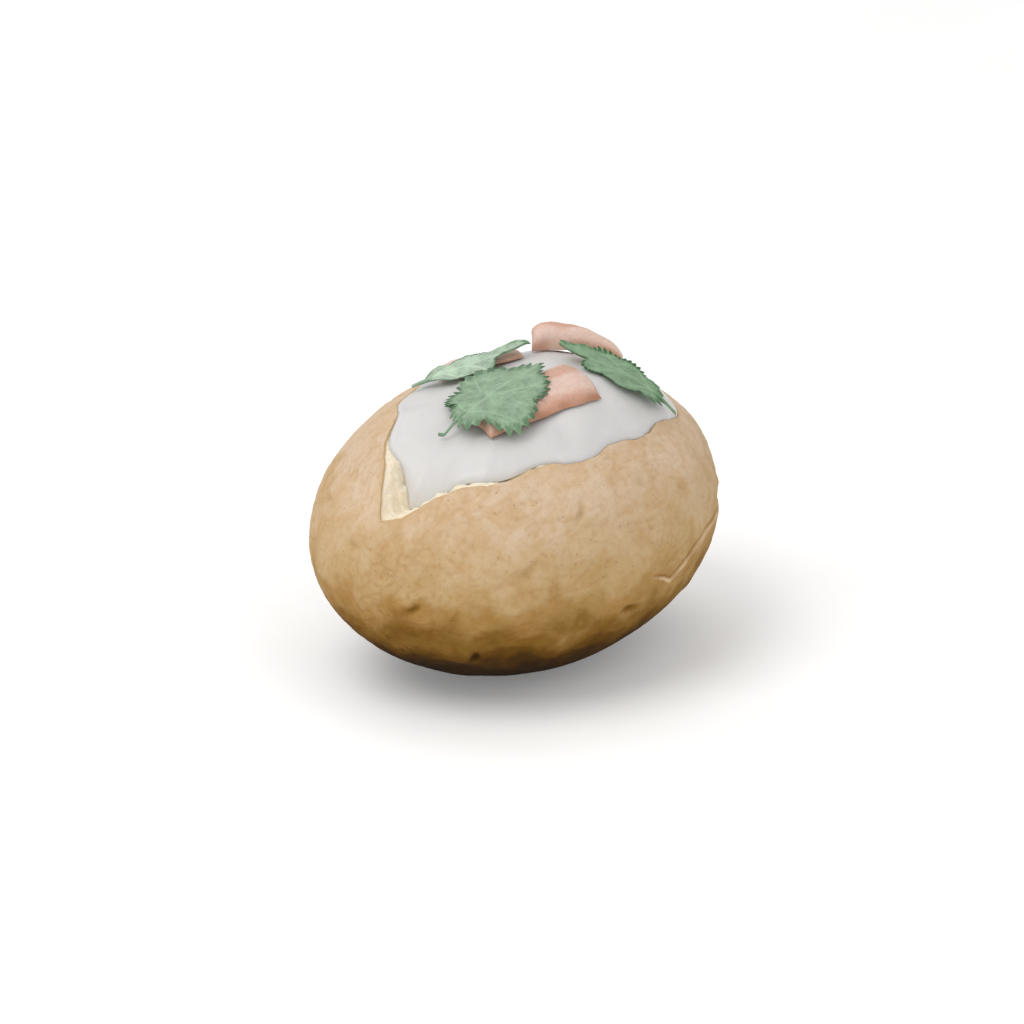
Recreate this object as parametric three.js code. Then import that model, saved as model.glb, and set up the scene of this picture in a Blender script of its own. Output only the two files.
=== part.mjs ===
// A baked potato, cut open along its top and filled with sour cream, with three pieces of
// bacon and three herb leaves lying on the cream.  Millimetres, +Z up, +X along the potato.
// The origin is under the middle of the potato, on the surface that it rests on.

import * as THREE from 'three';

// ---- driving dimensions -------------------------------------------------------------

const HALF_LENGTH = 60.0;        // potato, half its size along X
const HALF_WIDTH = 47.1;         // half its size along Y
const HALF_HEIGHT = 37.7;        // half its height, before the underside is flattened
const FLAT_DEPTH = 0.8;          // how much the resting spot takes off the underside
const SHOULDER_FULLNESS = 0.03;  // the upper half is this much fuller than the lower half
const UNEVENNESS = 0.011;        // hills and hollows of the skin, as a share of the radius
const SHOULDER = { angle: 138, climb: 128, spread: 30, depth: 0.035 };  // a flattened place

// The opening, as shares of the half length and half width of the potato.
const OPENING = { left: 0.895, right: 0.69, near: 0.69, far: 0.555 };
const ROUNDNESS = { near: 1.78, nearLeft: 0.28, nearRight: 1.7, far: 1.62, farSlope: 0.35 };
const LIP_WAVES = { amount: 0.016, count: 11, crest: 253 };
const CRATER_FLOOR = 10.0;       // lowest point of the opening, above the potato's middle
const CRATER_CURVE = 1.6;        // how the flesh rises from the floor and levels at the lip

// The cream fills the opening and stands over it in a low dome.
const CREAM_GAP = 0.5;           // between the cream and the flesh under it
const CREAM_TOP = 37.6;          // top of the dome, above the potato's middle
const CREAM_REACH = 0.985;       // share of the opening that the cream covers
const CREAM_BARE_TIP = { angle: 181, spread: 19, depth: 0.19 };
const CREAM_BARE_EDGE = { angle: 200, spread: 20, depth: 0.05 };
const DOME_PLATEAU = 2.6;        // larger is flatter in the middle
const DOME_STEEPNESS = 0.66;     // smaller is steeper at the edge
const DOME_LEAN = { amount: 2.6, angle: -45 };

const TOPPING_GAP = 0.35;        // between a topping and what it lies on
const LEAF_THICKNESS = 0.6;
const LEAF_STIFFNESS = 1 / 4;    // sharpest downward bend of a leaf, 1/mm
const LOBES = { count: 6, depth: 0.1 };
const TEETH = { count: 16, depth: 0.08 };

// A bacon strip lies along `heading`, bows sideways, and is curled up like a gutter:
// `curl` is how high its middle stands over its long edges at the two ends.
const CURL_CHANGE = 2.5;         // larger changes from the one curl to the other nearer the end
const BACON = {
  bacon_front: {
    centre: [-7.9, -10.9], heading: -17, length: 34, width: 16.4, thickness: 2.0,
    bow: -1.5, curl: [0.3, 1.3], ripple: 0.1, phase: 0.4,
  },
  bacon_back: {
    centre: [30.2, 3.0], heading: -52, length: 23, width: 11, thickness: 2.7,
    bow: 0.4, curl: [4.7, 0.3], ripple: 0.1, phase: 1.9,
  },
  bacon_left: {
    centre: [8.0, 17.4], heading: -38, length: 21, width: 9.5, thickness: 1.4,
    bow: 0.3, curl: [0.2, 0.2], ripple: 0.1, phase: 3.1,
  },
};

// A leaf is an oval round `middle` with its long axis at `heading`; `base` is the direction
// in which its stalk stands out, `stalk` millimetres further than its edge, and `over` is the
// strip that it lies over.
const LEAVES = {
  leaf_front: {
    middle: [-11.6, -3.8], heading: 40, length: 43, width: 27.5, base: 177, stalk: 4,
    over: 'bacon_front', tint: 0x9cbb98,
  },
  leaf_left: {
    middle: [4.0, 15.2], heading: -30, length: 31, width: 9.5, base: 150, stalk: 2,
    over: 'bacon_left', tint: 0xabc8a8,
  },
  leaf_right: {
    middle: [21.2, -14.8], heading: 97, length: 30.3, width: 17.5, base: -72, stalk: 2,
    over: 'bacon_back', tint: 0x85a381,
  },
};

// Fineness of the meshes.
const AROUND = 64;
const SKIN_RINGS = 16;
const CRATER_RINGS = 7;
const UNDERSIDE_RINGS = 6;
const DOME_RINGS = 12;
const STRIP_GRID = [14, 6];
const LEAF_RINGS = 3;

const CENTRE_HEIGHT = HALF_HEIGHT - FLAT_DEPTH;
const TAU = 2 * Math.PI;
const { degToRad: radians, radToDeg, euclideanModulo, lerp } = THREE.MathUtils;

// ---- the potato ---------------------------------------------------------------------

// Plan radius of the opening at an angle, as a share of the potato's own half sizes:
// a pointed leaf shape, wider on the near side (-Y) than on the far side, with a wavy edge.
function openingRadius(angle) {
  const cos = Math.cos(angle);
  const sin = Math.sin(angle);
  const reach = cos < 0 ? OPENING.left : OPENING.right;
  const side = sin < 0 ? OPENING.near : OPENING.far;
  const nearSlope = cos < 0 ? ROUNDNESS.nearLeft : ROUNDNESS.nearRight;
  const round = sin < 0
    ? ROUNDNESS.near + nearSlope * cos
    : ROUNDNESS.far + ROUNDNESS.farSlope * cos;
  const waves = Math.cos(LIP_WAVES.count * (angle - radians(LIP_WAVES.crest)));
  const outline = Math.abs(cos / reach) ** round + Math.abs(sin / side) ** round;
  return outline ** (-1 / round) + LIP_WAVES.amount * waves;
}

// Low hills and hollows of the skin; they fade out at the top and at the resting spot.
function skinRelief(angle, climb) {
  const belt = Math.sin(climb) ** 2;
  const waves = 0.9 * Math.cos(2 * angle - 0.55)
    + 0.7 * Math.cos(3 * angle - 2 * climb)
    - 0.6 * Math.sin(5 * angle + 3 * climb);
  const around = radToDeg(euclideanModulo(angle, TAU)) - SHOULDER.angle;
  const away = Math.hypot(around, 1.5 * (radToDeg(climb) - SHOULDER.climb)) / SHOULDER.spread;
  return 1 + UNEVENNESS * belt * waves - SHOULDER.depth * Math.exp(-(away ** 2));
}

// A point on the skin: `climb` runs from 0 under the potato to pi at its top.
function skinPoint(angle, climb) {
  const fullness = 1 - SHOULDER_FULLNESS * Math.cos(climb);
  const radius = fullness * Math.sin(climb) * skinRelief(angle, climb);
  return new THREE.Vector3(
    HALF_LENGTH * radius * Math.cos(angle),
    HALF_WIDTH * radius * Math.sin(angle),
    CENTRE_HEIGHT - HALF_HEIGHT * Math.cos(climb),
  );
}

function lipClimb(angle) {
  return Math.PI - Math.asin(openingRadius(angle));
}

// A point on the cut flesh: `share` is 1 at the lip and 0 at the middle of the opening.
function craterPoint(angle, share) {
  const lip = skinPoint(angle, lipClimb(angle));
  const floor = CENTRE_HEIGHT + CRATER_FLOOR;
  return new THREE.Vector3(
    lip.x * share,
    lip.y * share,
    lerp(floor, lip.z, Math.sin(share * (Math.PI / 2)) ** CRATER_CURVE),
  );
}

function potatoGeometry() {
  const flatClimb = Math.acos(CENTRE_HEIGHT / HALF_HEIGHT);
  const rings = [];
  for (let i = 0; i <= SKIN_RINGS; i += 1) {
    rings.push(ring((angle) => skinPoint(angle, lerp(flatClimb, lipClimb(angle), i / SKIN_RINGS))));
  }
  for (let i = CRATER_RINGS - 1; i > 0; i -= 1) {
    rings.push(ring((angle) => craterPoint(angle, i / CRATER_RINGS)));
  }
  return loft(new THREE.Vector3(0, 0, 0), rings, craterPoint(0, 0));
}

// ---- the sour cream -----------------------------------------------------------------

function bareness(angle, { angle: middle, spread, depth }) {
  const turn = euclideanModulo(radToDeg(angle), 360);
  return depth * Math.exp(-(((turn - middle) / spread) ** 2));
}

// Share of the opening that the cream covers; flesh stays bare at the left-hand tip.
function creamReach(angle) {
  return CREAM_REACH - bareness(angle, CREAM_BARE_TIP) - bareness(angle, CREAM_BARE_EDGE);
}

// Height of the dome over a point at `share` of the way from its middle to its edge.
function domeHeight(angle, share, edgeHeight) {
  const rise = Math.max(1 - share ** DOME_PLATEAU, 0) ** DOME_STEEPNESS;
  const lean = 4 * share * (1 - share) * Math.cos(angle - radians(DOME_LEAN.angle));
  return lerp(edgeHeight, CENTRE_HEIGHT + CREAM_TOP, rise) + DOME_LEAN.amount * lean;
}

function creamEdge(angle) {
  return craterPoint(angle, creamReach(angle));
}

function creamGeometry() {
  const underside = (angle, share) => {
    const point = craterPoint(angle, share * creamReach(angle));
    point.z += CREAM_GAP;
    return point;
  };
  const dome = (angle, share) => {
    const edge = creamEdge(angle);
    edge.z += CREAM_GAP;
    return new THREE.Vector3(edge.x * share, edge.y * share, domeHeight(angle, share, edge.z));
  };
  const rings = [];
  for (let i = 1; i <= UNDERSIDE_RINGS; i += 1) {
    rings.push(ring((angle) => underside(angle, i / UNDERSIDE_RINGS)));
  }
  for (let i = 1; i < DOME_RINGS; i += 1) {
    const share = Math.cos((i / DOME_RINGS) * (Math.PI / 2));
    rings.push(ring((angle) => dome(angle, share)));
  }
  return loft(underside(0, 0), rings, dome(0, 0));
}

// ---- what the toppings lie on -------------------------------------------------------

// Height of the cream, or of the skin beyond its edge, at a point seen from above.
function creamHeight(x, y) {
  const angle = Math.atan2(y / HALF_WIDTH, x / HALF_LENGTH);
  const edge = creamEdge(angle);
  const share = Math.hypot(x, y) / Math.hypot(edge.x, edge.y);
  if (share <= 1) return domeHeight(angle, share, edge.z + CREAM_GAP);
  const radius = Math.min(Math.hypot(x / HALF_LENGTH, y / HALF_WIDTH), 1);
  return CENTRE_HEIGHT + HALF_HEIGHT * Math.sqrt(1 - radius ** 2) + CREAM_GAP;
}

// Where a point lies on a bacon strip: along it and across it, each -1 to 1.
function onStrip(strip, x, y) {
  const heading = radians(strip.heading);
  const dx = x - strip.centre[0];
  const dy = y - strip.centre[1];
  const along = (dx * Math.cos(heading) + dy * Math.sin(heading)) / (strip.length / 2);
  const across = -dx * Math.sin(heading) + dy * Math.cos(heading) - bowOf(strip, along);
  return { along, across: across / (strip.width / 2) };
}

function bowOf(strip, along) {
  return strip.bow * (1 - along ** 2);
}

// Height of a strip's lower face above the cream.
function stripLift(strip, along, across) {
  const curl = lerp(strip.curl[0], strip.curl[1], ((along + 1) / 2) ** CURL_CHANGE);
  const ripple = strip.ripple * (1 + Math.sin(5 * along + 2 * across + strip.phase));
  return TOPPING_GAP + curl * (1 - across ** 2) + ripple;
}

function stripTop(strip, x, y) {
  const { along, across } = onStrip(strip, x, y);
  if (Math.abs(along) > 1 || Math.abs(across) > 1) return -Infinity;
  return creamHeight(x, y) + stripLift(strip, along, across) + strip.thickness;
}

// The height at which a leaf of limited bend clears the cream and the strip under it.
function leafSupport(leaf, x, y) {
  const reach = 7;
  const step = 1;
  let highest = -Infinity;
  for (let dx = -reach; dx <= reach; dx += step) {
    for (let dy = -reach; dy <= reach; dy += step) {
      const droop = (LEAF_STIFFNESS * (dx ** 2 + dy ** 2)) / 2;
      const cream = creamHeight(x + dx, y + dy);
      const strip = stripTop(BACON[leaf.over], x + dx, y + dy);
      highest = Math.max(highest, cream - droop, strip - droop);
    }
  }
  return highest;
}

// ---- bacon and leaves ---------------------------------------------------------------

function baconGeometry(strip) {
  const heading = radians(strip.heading);
  return sheetSolid(STRIP_GRID[0], STRIP_GRID[1], (u, v) => {
    const along = Math.sin((2 * u - 1) * (Math.PI / 2));
    const across = Math.sin((2 * v - 1) * (Math.PI / 2));
    const s = (along * strip.length) / 2;
    const w = (across * strip.width) / 2 + bowOf(strip, along);
    const x = strip.centre[0] + s * Math.cos(heading) - w * Math.sin(heading);
    const y = strip.centre[1] + s * Math.sin(heading) + w * Math.cos(heading);
    const roundness = Math.sqrt((1 - along ** 8) * (1 - across ** 6));
    const bottom = creamHeight(x, y) + stripLift(strip, along, across);
    return { x, y, bottom, top: bottom + strip.thickness * roundness };
  });
}

// Distance from a leaf's middle to its edge at one step of the way round from its stalk:
// an oval in lobes, one of them at the stalk, with a toothed edge.
function leafReach(leaf, turn) {
  const fromAxis = turn + radians(leaf.base - leaf.heading);
  const long = leaf.length / 2;
  const short = leaf.width / 2;
  const oval = (long * short) / Math.hypot(short * Math.cos(fromAxis), long * Math.sin(fromAxis));
  const lobes = 1 - LOBES.depth * (1 - Math.cos(LOBES.count * turn)) / 2;
  const tooth = 1 - TEETH.depth * ((TEETH.count * turn) / TAU % 1);
  return oval * lobes * tooth + (turn === 0 ? leaf.stalk : 0);
}

function leafGeometry(leaf) {
  const at = (turn, share, lift) => {
    const direction = turn + radians(leaf.base);
    const x = leaf.middle[0] + leafReach(leaf, turn) * share * Math.cos(direction);
    const y = leaf.middle[1] + leafReach(leaf, turn) * share * Math.sin(direction);
    return new THREE.Vector3(x, y, leafSupport(leaf, x, y) + TOPPING_GAP + lift);
  };
  const rings = [];
  for (let i = 1; i <= LEAF_RINGS; i += 1) {
    rings.push(ring((turn) => at(turn, i / LEAF_RINGS, 0)));
  }
  for (let i = LEAF_RINGS - 1; i > 0; i -= 1) {
    rings.push(ring((turn) => at(turn, i / LEAF_RINGS, LEAF_THICKNESS)));
  }
  return loft(at(0, 0, 0), rings, at(0, 0, LEAF_THICKNESS));
}

// ---- mesh making --------------------------------------------------------------------

function ring(pointAt) {
  return Array.from({ length: AROUND }, (_, i) => pointAt((i / AROUND) * TAU));
}

function closedGeometry(points, triangles) {
  const geometry = new THREE.BufferGeometry().setFromPoints(points);
  geometry.setIndex(triangles);
  geometry.computeVertexNormals();
  return geometry;
}

// A closed body round the vertical axis: its lowest point, rings outward, up and back in,
// and the point that closes it on top.
function loft(start, rings, end) {
  const points = [start, ...rings.flat(), end];
  const at = (row, i) => 1 + row * AROUND + (i % AROUND);
  const last = points.length - 1;
  const triangles = [];
  for (let i = 0; i < AROUND; i += 1) {
    triangles.push(0, at(0, i + 1), at(0, i));
    for (let row = 0; row + 1 < rings.length; row += 1) {
      triangles.push(at(row, i), at(row, i + 1), at(row + 1, i + 1));
      triangles.push(at(row, i), at(row + 1, i + 1), at(row + 1, i));
    }
    triangles.push(last, at(rings.length - 1, i), at(rings.length - 1, i + 1));
  }
  return closedGeometry(points, triangles);
}

// A closed thin body: an upper and a lower grid of points that share their border.
function sheetSolid(stepsU, stepsV, pointAt) {
  const points = [];
  const upper = [];
  const lower = [];
  for (let i = 0; i <= stepsU; i += 1) {
    for (let j = 0; j <= stepsV; j += 1) {
      const { x, y, bottom, top } = pointAt(i / stepsU, j / stepsV);
      const border = i === 0 || j === 0 || i === stepsU || j === stepsV;
      lower.push(points.length);
      upper.push(border ? points.length : points.length + 1);
      points.push(new THREE.Vector3(x, y, bottom));
      if (!border) points.push(new THREE.Vector3(x, y, top));
    }
  }
  const triangles = [];
  const row = stepsV + 1;
  for (let i = 0; i < stepsU; i += 1) {
    for (let j = 0; j < stepsV; j += 1) {
      const corner = i * row + j;
      const [a, b, c, d] = [corner, corner + row, corner + row + 1, corner + 1];
      triangles.push(upper[a], upper[b], upper[c], upper[a], upper[c], upper[d]);
      triangles.push(lower[a], lower[c], lower[b], lower[a], lower[d], lower[c]);
    }
  }
  return closedGeometry(points, triangles);
}

function piece(name, geometry, color, roughness) {
  const mesh = new THREE.Mesh(geometry, new THREE.MeshStandardMaterial({ color, roughness }));
  mesh.name = name;
  return mesh;
}

// ---- the whole ----------------------------------------------------------------------

const group = new THREE.Group();
group.add(piece('potato', potatoGeometry(), 0xc8a880, 0.8));
group.add(piece('sour_cream', creamGeometry(), 0xe2e0db, 0.4));
for (const [name, strip] of Object.entries(BACON)) {
  group.add(piece(name, baconGeometry(strip), 0xe0bcab, 0.5));
}
for (const [name, leaf] of Object.entries(LEAVES)) {
  group.add(piece(name, leafGeometry(leaf), leaf.tint, 0.6));
}

// The skin's hills make one side stand out a little more than the other: centre the whole.
const box = new THREE.Box3().setFromObject(group, true);
group.position.set(-(box.min.x + box.max.x) / 2, -(box.min.y + box.max.y) / 2, -box.min.z);

export default group;
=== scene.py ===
"""Looks of a baked potato, cut open along its top and filled with sour cream, with bacon and herb leaves.

Shapes are worked out in millimetres, with the potato's middle over the origin and its underside at z = 0,
and moved into the frame, in metres, when a mesh is made.
"""

import math
from itertools import product

import bpy
import numpy as np
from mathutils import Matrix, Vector


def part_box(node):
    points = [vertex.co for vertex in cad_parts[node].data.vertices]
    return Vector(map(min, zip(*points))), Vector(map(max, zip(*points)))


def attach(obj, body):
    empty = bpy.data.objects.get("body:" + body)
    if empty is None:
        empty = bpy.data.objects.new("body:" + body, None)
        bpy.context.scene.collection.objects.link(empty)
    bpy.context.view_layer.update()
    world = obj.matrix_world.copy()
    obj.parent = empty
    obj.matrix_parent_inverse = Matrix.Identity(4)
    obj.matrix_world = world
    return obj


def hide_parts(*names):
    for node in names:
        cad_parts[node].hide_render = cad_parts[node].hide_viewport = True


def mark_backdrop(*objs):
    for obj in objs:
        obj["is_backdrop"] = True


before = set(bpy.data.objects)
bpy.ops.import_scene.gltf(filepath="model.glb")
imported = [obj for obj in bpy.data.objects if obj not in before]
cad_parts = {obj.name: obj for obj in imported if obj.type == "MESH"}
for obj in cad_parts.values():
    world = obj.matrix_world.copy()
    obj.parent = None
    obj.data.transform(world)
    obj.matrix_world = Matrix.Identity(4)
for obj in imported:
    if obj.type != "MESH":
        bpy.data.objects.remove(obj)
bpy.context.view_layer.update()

MM = 0.001

# ---- the frame's own sizes, mm -------------------------------------------------------

HALF_LENGTH, HALF_WIDTH, HALF_HEIGHT = 60.0, 47.1, 37.7
FLAT_DEPTH = 0.8  # of the flat spot that the potato rests on
SHOULDER_FULLNESS = 0.03  # how much fuller the upper half is
UNEVENNESS = 0.011  # as a share of the radius
SHOULDER = {"angle": 138, "climb": 128, "spread": 30, "depth": 0.035}  # a flatter place
CENTRE_HEIGHT = HALF_HEIGHT - FLAT_DEPTH

# The opening: its reach on each side, as a share of the half sizes, and how round its corners are.
OPENING = {"left": 0.895, "right": 0.69, "near": 0.69, "far": 0.555}
ROUNDNESS = {"near": 1.78, "near_left": 0.28, "near_right": 1.7, "far": 1.62, "far_slope": 0.35}
LIP_WAVES = {"amount": 0.016, "count": 11, "crest": 253}
CRATER_FLOOR = 10.0  # above the potato's middle
CRATER_CURVE = 1.6

# The cream: its top above the potato's middle, and the shares of the opening that it covers and leaves bare.
CREAM_GAP = 0.5  # mm between the flesh and the cream in the frame
CREAM_TOP = 37.6
CREAM_REACH = 0.985
CREAM_BARE = [{"angle": 181, "spread": 19, "depth": 0.19}, {"angle": 200, "spread": 20, "depth": 0.05}]
DOME_PLATEAU = 2.6  # larger is flatter in the middle
DOME_STEEPNESS = 0.66  # smaller is steeper at the edge
DOME_LEAN = {"amount": 2.6, "angle": -45}

# Bacon, in mm and degrees: bow bends a strip sideways, and curl lifts its middle line at its two ends.
BACON = {
    "bacon_front": dict(
        centre=(-7.9, -10.9), heading=-17, length=34, width=16.4, thickness=2.0,
        bow=-1.5, curl=(0.3, 1.3), ripple=0.1, phase=0.4,
    ),
    "bacon_back": dict(
        centre=(30.2, 3.0), heading=-52, length=23, width=11, thickness=2.7,
        bow=0.4, curl=(4.7, 0.3), ripple=0.1, phase=1.9,
    ),
    "bacon_left": dict(
        centre=(8.0, 17.4), heading=-38, length=21, width=9.5, thickness=1.4,
        bow=0.3, curl=(0.2, 0.2), ripple=0.1, phase=3.1,
    ),
}
# Leaves, in mm and degrees: base is the direction of the stalk, and point is how much the tip narrows.
LEAVES = {
    "leaf_front": dict(
        middle=(-11.6, -3.8), heading=40, length=43, width=27.5, base=177, stalk=4,
        over="bacon_front", stalk_bend=-1.3, tip_lift=0.4, point=0.0, tint=(0.257, 0.37, 0.245), seed=3,
    ),
    "leaf_left": dict(
        middle=(4.0, 15.2), heading=-30, length=31, width=9.5, base=150, stalk=2,
        over="bacon_left", stalk_bend=0.4, tip_lift=1.0, point=0.28, tint=(0.395, 0.505, 0.385), seed=4,
    ),
    "leaf_right": dict(
        middle=(21.2, -14.8), heading=97, length=30.3, width=17.5, base=-72, stalk=2,
        over="bacon_back", stalk_bend=0.3, tip_lift=2.6, point=0.28, tint=(0.207, 0.323, 0.196), seed=5,
    ),
}
CURL_CHANGE = 2.5  # larger keeps the first curl for longer along a strip
TOPPING_GAP = 0.35  # mm between the cream and what lies on it
LEAF_STIFFNESS = 1 / 4  # the sharpest bend of a leaf, 1/mm

# ---- the camera and the fineness of the meshes ---------------------------------------

CAMERA_AZIMUTH = -52.0
CAMERA_ELEVATION = 21.74
VIEW_WIDTH = 260.4  # mm across the picture at the potato
AIM = {"right": -0.43, "up": 1.35}  # mm from the potato's middle to the middle of the picture
LENS = 1000.0  # a very long lens, as the view is nearly a parallel one
SENSOR = 36.0

AROUND, SKIN_ROWS, FLESH_ROWS = 640, 230, 64
CREAM_AROUND, CREAM_ROWS = 400, 130
BACON_ROWS, BACON_COLUMNS = 150, 64
LEAF_AROUND, LEAF_ROWS = 504, 46
STALK_STEPS, STALK_SIDES = 20, 10


# ---- noise ---------------------------------------------------------------------------

DICE = np.random.default_rng(11)
SHUFFLE = DICE.permutation(256)
GRADIENTS = DICE.normal(size=(256, 3))
GRADIENTS /= np.linalg.norm(GRADIENTS, axis=1, keepdims=True)


def noise(points, size, seed):
    """Smooth noise from about -1 to 1 at each point; its hills are about `size` mm apart."""
    p = points / size + np.array([seed * 7.31, seed * 3.77, seed * 5.19])
    cell = np.floor(p).astype(int)
    f = p - cell
    ease = f**3 * (f * (f * 6 - 15) + 10)
    total = np.zeros(points.shape[:-1])
    for corner in product((0, 1), repeat=3):
        c = (cell + corner) & 255
        pick = SHUFFLE[(SHUFFLE[(SHUFFLE[c[..., 0]] + c[..., 1]) & 255] + c[..., 2]) & 255]
        weight = np.prod(np.where(np.array(corner) == 1, ease, 1 - ease), axis=-1)
        total += weight * np.sum(GRADIENTS[pick] * (f - corner), axis=-1)
    return total * 1.7


def layered_noise(points, size, layers, seed):
    """Noise with finer and weaker noise over it, each layer half the size of the one before."""
    return sum(noise(points, size / 2**layer, seed + layer) / 2**layer for layer in range(layers))


def smooth_step(low, high, value):
    """From 0 at low to 1 at high, level at both."""
    t = np.clip((value - low) / (high - low), 0, 1)
    return t * t * (3 - 2 * t)


def bell(value, width):
    """1 where the value is 0, dying away over the width on both sides."""
    return np.exp(-((value / width) ** 2))


def flat_points(x, y, z=0.0):
    """Points from coordinates whose shapes fit together."""
    return np.stack(np.broadcast_arrays(x, y, z), axis=-1).astype(float)


# ---- forms shared with the frame -----------------------------------------------------


def opening_radius(angle):
    """Plan radius of the opening, as a share of the potato's own half sizes."""
    cos, sin = np.cos(angle), np.sin(angle)
    reach = np.where(cos < 0, OPENING["left"], OPENING["right"])
    side = np.where(sin < 0, OPENING["near"], OPENING["far"])
    near_slope = np.where(cos < 0, ROUNDNESS["near_left"], ROUNDNESS["near_right"])
    roundness = np.where(
        sin < 0, ROUNDNESS["near"] + near_slope * cos, ROUNDNESS["far"] + ROUNDNESS["far_slope"] * cos
    )
    waves = np.cos(LIP_WAVES["count"] * (angle - math.radians(LIP_WAVES["crest"])))
    outline = np.abs(cos / reach) ** roundness + np.abs(sin / side) ** roundness
    return outline ** (-1 / roundness) + LIP_WAVES["amount"] * waves


def skin_point(angle, climb):
    """A point on the skin; climb runs from 0 under the potato to pi at its top."""
    waves = (
        0.9 * np.cos(2 * angle - 0.55)
        + 0.7 * np.cos(3 * angle - 2 * climb)
        - 0.6 * np.sin(5 * angle + 3 * climb)
    )
    around = np.degrees(angle) % 360 - SHOULDER["angle"]
    away = np.hypot(around, 1.5 * (np.degrees(climb) - SHOULDER["climb"]))
    relief = 1 + UNEVENNESS * np.sin(climb) ** 2 * waves - SHOULDER["depth"] * bell(away, SHOULDER["spread"])
    radius = (1 - SHOULDER_FULLNESS * np.cos(climb)) * np.sin(climb) * relief
    return flat_points(
        HALF_LENGTH * radius * np.cos(angle),
        HALF_WIDTH * radius * np.sin(angle),
        CENTRE_HEIGHT - HALF_HEIGHT * np.cos(climb),
    )


def lip_climb(angle):
    """Climb at which the opening cuts the skin."""
    return math.pi - np.arcsin(opening_radius(angle))


def crater_point(angle, share, lip=None):
    """A point on the cut flesh; share is 1 at the lip and 0 at the middle of the opening."""
    lip = skin_point(angle, lip_climb(angle)) if lip is None else lip
    rise = np.sin(share * math.pi / 2) ** CRATER_CURVE
    floor = CENTRE_HEIGHT + CRATER_FLOOR
    return flat_points(lip[..., 0] * share, lip[..., 1] * share, floor + (lip[..., 2] - floor) * rise)


def cream_reach(angle):
    """Share of the opening that the cream covers."""
    turn = np.degrees(angle) % 360
    bare = sum(b["depth"] * bell(turn - b["angle"], b["spread"]) for b in CREAM_BARE)
    return CREAM_REACH - bare


def dome_height(angle, share, edge_height):
    """Height of the cream's dome; share is 1 at its edge and 0 at its middle."""
    rise = np.maximum(1 - share**DOME_PLATEAU, 0) ** DOME_STEEPNESS
    lean = 4 * share * (1 - share) * np.cos(angle - math.radians(DOME_LEAN["angle"]))
    top = CENTRE_HEIGHT + CREAM_TOP
    return edge_height + (top - edge_height) * rise + DOME_LEAN["amount"] * lean


def cream_height(x, y):
    """Height of the cream, or of the skin beyond its edge, seen from above."""
    angle = np.arctan2(y / HALF_WIDTH, x / HALF_LENGTH)
    edge = crater_point(angle, cream_reach(angle))
    share = np.hypot(x, y) / np.hypot(edge[..., 0], edge[..., 1])
    cream = dome_height(angle, np.minimum(share, 1), edge[..., 2] + CREAM_GAP)
    radius = np.minimum(np.hypot(x / HALF_LENGTH, y / HALF_WIDTH), 1)
    skin = CENTRE_HEIGHT + HALF_HEIGHT * np.sqrt(1 - radius**2) + CREAM_GAP
    return np.where(share <= 1, cream, skin)


def bow_of(strip, along):
    """Sideways bend of a strip at a place from -1 to 1 along it."""
    return strip["bow"] * (1 - along**2)


def strip_lift(strip, along, across):
    """Height of a strip's lower face above the cream."""
    change = np.clip((along + 1) / 2, 0, 1) ** CURL_CHANGE
    curl = strip["curl"][0] + (strip["curl"][1] - strip["curl"][0]) * change
    ripple = strip["ripple"] * (1 + np.sin(5 * along + 2 * across + strip["phase"]))
    return TOPPING_GAP + curl * (1 - across**2) + ripple


# ---- meshes --------------------------------------------------------------------------


def frame_shift():
    """From the millimetre shapes to the frame: the frame is centred on the potato's box."""
    angle = np.linspace(0, 2 * math.pi, AROUND, endpoint=False)[None, :]
    climb = np.linspace(0.3, 2.6, 200)[:, None]
    shape = skin_point(angle, climb).reshape(-1, 3)
    middle = (shape.min(0) + shape.max(0)) / 2
    low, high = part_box("potato")
    return np.array([(low.x + high.x) / 2 / MM - middle[0], (low.y + high.y) / 2 / MM - middle[1], 0.0])


SHIFT = frame_shift()


def make_mesh(name, points, faces, marks=None, materials=(), face_material=None):
    """A smooth mesh object in the frame from points in mm; marks are numbers stored on its points."""
    mesh = bpy.data.meshes.new(name)
    mesh.from_pydata(((points + SHIFT) * MM).tolist(), [], faces)
    mesh.polygons.foreach_set("use_smooth", [True] * len(mesh.polygons))
    for mark, values in (marks or {}).items():
        layer = mesh.attributes.new(mark, "FLOAT", "POINT")
        layer.data.foreach_set("value", np.asarray(values, np.float32))
    for material in materials:
        mesh.materials.append(material)
    if face_material is not None:
        mesh.polygons.foreach_set("material_index", face_material)
    mesh.update()
    piece = bpy.data.objects.new(name, mesh)
    bpy.context.scene.collection.objects.link(piece)
    return piece


def loft_faces(rows, around):
    """Faces of a closed body: point 0, rows of points from the bottom out and over, and a last point."""
    faces = []
    for row in range(rows - 1):
        low = 1 + row * around
        high = low + around
        faces += [(low + i, low + (i + 1) % around, high + (i + 1) % around, high + i) for i in range(around)]
    last = 1 + rows * around
    top = last - around
    start = [(0, 1 + (i + 1) % around, 1 + i) for i in range(around)]
    end = [(last, top + i, top + (i + 1) % around) for i in range(around)]
    return faces + start + end


def grid_normals(grid):
    """Outward normals of a grid of rows of points that close round the vertical axis."""
    across = np.roll(grid, -1, axis=1) - np.roll(grid, 1, axis=1)
    up = np.gradient(grid, axis=0)
    normal = np.cross(across, up)
    return normal / np.maximum(np.linalg.norm(normal, axis=-1, keepdims=True), 1e-9)


def use_piece(piece, nodes):
    """Tie a piece to the frame: it rides the body and stands for nodes."""
    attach(piece, "root")
    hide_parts(*nodes)


# ---- materials -----------------------------------------------------------------------


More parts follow.
